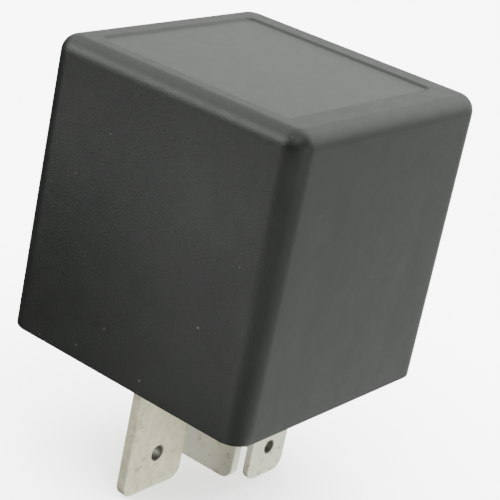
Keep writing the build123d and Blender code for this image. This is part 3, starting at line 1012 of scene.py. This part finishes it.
def plastic_look(name, dark, light, rough, specular, dust):
    """Moulded plastic: a fine matte grain, faint rubbed patches and a little pale dust."""
    look, tree, shader, colour = finish(
        name, dark, light, rough, specular=specular, patch=260, grain=8000, bump=0.35)
    shader.inputs["Specular Tint"].default_value = (*GLOSS_TINT, 1)
    rubbed = spread(tree, noise(tree, *RUBBED_NOISE), *RUBBED_RANGE)
    colour = over(tree, rubbed, colour, RUBBED)
    colour = over(tree, dust_specks(tree, dust), colour, DUST)
    tree.links.new(colour, shader.inputs["Base Color"])
    return look


def tin_look(name, dark, light):
    """Tinned brass: a warm matte grey with soft blotches and a few brownish stains."""
    look, tree, shader, colour = finish(
        name, dark, light, (0.48, 0.62), metallic=0.9, patch=1100, grain=7000)
    stain = spread(tree, noise(tree, *STAIN_NOISE), *STAIN_RANGE)
    tree.links.new(over(tree, stain, colour, STAIN), shader.inputs["Base Color"])
    return look


def banded_look():
    """The resistor's lacquer, with generic colour bands round it."""
    look, tree, shader, colour = finish(
        "resistor_lacquer", (0.30, 0.42, 0.46), (0.36, 0.50, 0.54), (0.2, 0.3),
        grain=3000, bump=0.05)
    axes = tree.nodes.new("ShaderNodeSeparateXYZ")
    tree.links.new(own_place(tree), axes.inputs["Vector"])
    for middle, band in BANDS:
        within = worked(tree, "COMPARE", axes.outputs["Y"], middle * MM, BAND_HALF * MM)
        colour = over(tree, within, colour, band)
    tree.links.new(colour, shader.inputs["Base Color"])
    return look


def looks():
    """Every finish, by its name."""
    made = {row[0]: plastic_look(*row) for row in PLASTICS}
    made.update({row[0]: tin_look(*row) for row in TINS})
    made["resistor_lacquer"] = banded_look()
    for name, dark, light, rough, metallic, grain, bump, stretch in OTHERS:
        made[name] = finish(
            name, dark, light, rough, metallic, grain=grain, bump=bump, stretch=stretch)[0]
    return made


def assemble():
    """Every piece of the relay."""
    look = looks()
    cap = add_piece("cap_shell", cap_shell(), "cap", "cap_plastic", look["cap_plastic"], "cover")
    cap.data.materials.append(look["cap_recess"])
    # The last face that loft() makes is the floor of the recess
    cap.data.polygons[-1].material_index = 1
    fixed = [
        ("base_plate", base_plate(), "base_plastic", "base"),
        ("blade_30", terminal_30(), "tinned_brass", "terminal_30"),
        ("blade_85", coil_terminal("terminal_85", -1), "tinned_brass", "terminal_85"),
        ("blade_86", coil_terminal("terminal_86", 1), "tinned_brass", "terminal_86"),
        ("blade_87", terminal_87(), "tinned_brass", "terminal_87"),
        ("blade_87a", terminal_87a(), "tinned_brass", "terminal_87a"),
        ("yoke_frame", yoke_frame(), "plated_iron", "yoke"),
        ("core_bar", core_bar(), "bare_iron", "core"),
        ("bobbin_spool", bobbin_spool(), "bobbin_plastic", "bobbin"),
        ("coil_turns", coil_turns(), "copper_wire", "coil_winding"),
        ("yoke_rivet_heads", yoke_rivets(), "rivet_brass", "yoke_rivets"),
        ("contact_no", fixed_contact("fixed_contact_no", 1), "contact_silver", "fixed_contact_no"),
        ("contact_nc", fixed_contact("fixed_contact_nc", -1), "contact_silver", "fixed_contact_nc"),
        ("resistor_body", resistor_body(), "resistor_lacquer", "suppression_resistor"),
        ("solder_blobs", solder_joints(), "solder", "solder_joints"),
    ]
    for name, build, slot, node in fixed:
        # Blades 85, 86 and 87a take the lighter copy of the tin: painted light
        finish_name = "painted_light_tin" if node in PAINTED_LIGHT_TABS else slot
        piece = add_piece(name, build, "carrier", slot, look[finish_name], node)
        if slot == "tinned_brass":
            # The hole walls take the darker finish: bare punched metal and painted shade
            piece.data.materials.append(look["shaded_punched_wall"])
    hinged = [
        ("armature_plate", armature_plate(), "plated_iron", "armature"),
        ("armature_rivet_heads", armature_rivets(), "rivet_brass", "armature_rivets"),
        ("contact_moving", moving_contact(), "contact_silver", "moving_contact"),
    ]
    for name, build, slot, node in hinged:
        add_piece(name, build, "moving_armature", slot, look[slot], node)
    bronze = look["spring_bronze"]
    leaf = add_piece("spring_leaf", spring_leaf(), None, "spring_bronze", bronze, "contact_spring")
    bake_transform(leaf)
    # The nodes of round wire keep their CAD shape
    for node, slot in (
        ("coil_lead_start", "copper_wire"),
        ("coil_lead_end", "copper_wire"),
        ("resistor_leads", "tinned_wire"),
    ):
        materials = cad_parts[node].data.materials
        for index in range(len(materials)):
            materials[index] = look[slot]


def aim_camera():
    """The camera at the photograph's viewing angle, rolled as it was held."""
    data = bpy.data.cameras.new("camera")
    camera = linked("camera", data)
    place = Vector(CAMERA_PLACE) * MM
    look = (Vector(CAMERA_AIM) * MM - place).to_track_quat("-Z", "Y")
    roll = Matrix.Rotation(radians(CAMERA_ROLL), 4, "Z")
    camera.matrix_world = Matrix.Translation(place) @ look.to_matrix().to_4x4() @ roll
    data.lens = CAMERA_LENS
    data.sensor_width = CAMERA_SENSOR
    data.shift_x, data.shift_y = CAMERA_SHIFT
    bpy.context.scene.camera = camera


def floor_look():
    """Pale matte paper, near white, whose even glow is dimmed under the object as a painted shadow.
    """
    look, tree, shader, colour = finish(
        "floor_paper", (0.78, 0.78, 0.77), (0.84, 0.84, 0.83), (0.7, 0.8),
        specular=0.2, patch=6, grain=900, bump=0.03)
    tree.links.new(colour, shader.inputs["Emission Color"])
    # Ambient occlusion dims the glow near the object: a painted contact shadow
    painted_shadow = tree.nodes.new("ShaderNodeAmbientOcclusion")
    painted_shadow.inputs["Distance"].default_value = SHADOW_REACH
    glow = spread(tree, painted_shadow.outputs["AO"], SHADOW_OPEN, 1.0, SHADOW_GLOW, FLOOR_GLOW)
    tree.links.new(glow, shader.inputs["Emission Strength"])
    return look


def studio():
    """A pale floor that curves up into a backdrop, and gives the object no light."""
    corners = [(STUDIO_REACH, 0), (STUDIO_REACH, STUDIO_REACH), (STUDIO_HOLE, STUDIO_REACH)]
    shell = lathe([(STUDIO_HOLE, 0), *corners], [0, STUDIO_CURVE, STUDIO_CURVE, 0])
    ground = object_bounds()[0][2] / MM
    floor = smooth_object("floor", moved(shell, shift(0, 0, ground)), floor_look())
    floor.visible_diffuse = False
    floor.visible_glossy = False
    floor.visible_transmission = False
    floor.visible_shadow = False


def soft_light():
    """Soft light from all round: wide glows in the world, and bounce cards near the object."""
    world = bpy.data.worlds.new("soft_light")
    bpy.context.scene.world = world
    world.use_nodes = True
    tree = world.node_tree
    sky = tree.nodes.new("ShaderNodeTexCoord").outputs["Generated"]
    total = FILL
    for azimuth, elevation, sharpness, strength in GLOWS:
        turn, rise = radians(azimuth), radians(elevation)
        facing = tree.nodes.new("ShaderNodeVectorMath")
        facing.operation = "DOT_PRODUCT"
        facing.inputs[1].default_value = (cos(turn) * cos(rise), sin(turn) * cos(rise), sin(rise))
        tree.links.new(sky, facing.inputs[0])
        value = worked(tree, "MAXIMUM", facing.outputs["Value"], 0.0)
        value = worked(tree, "POWER", value, sharpness)
        value = worked(tree, "MULTIPLY", value, strength)
        total = worked(tree, "ADD", total, value)
    tree.links.new(total, tree.nodes["Background"].inputs["Strength"])
    tree.nodes["Background"].inputs["Color"].default_value = (*SKY_TINT, 1)
    for place, way, width, power in CARDS:
        data = bpy.data.lights.new("card", "AREA")
        data.shape = "DISK"
        data.size = width * MM
        data.energy = power
        card = linked("card", data)
        turn = Vector(way).to_track_quat("-Z", "Y").to_matrix().to_4x4()
        card.matrix_world = Matrix.Translation(Vector(place) * MM) @ turn
        card.visible_camera = False


aim_camera()
assemble()
studio()
soft_light()
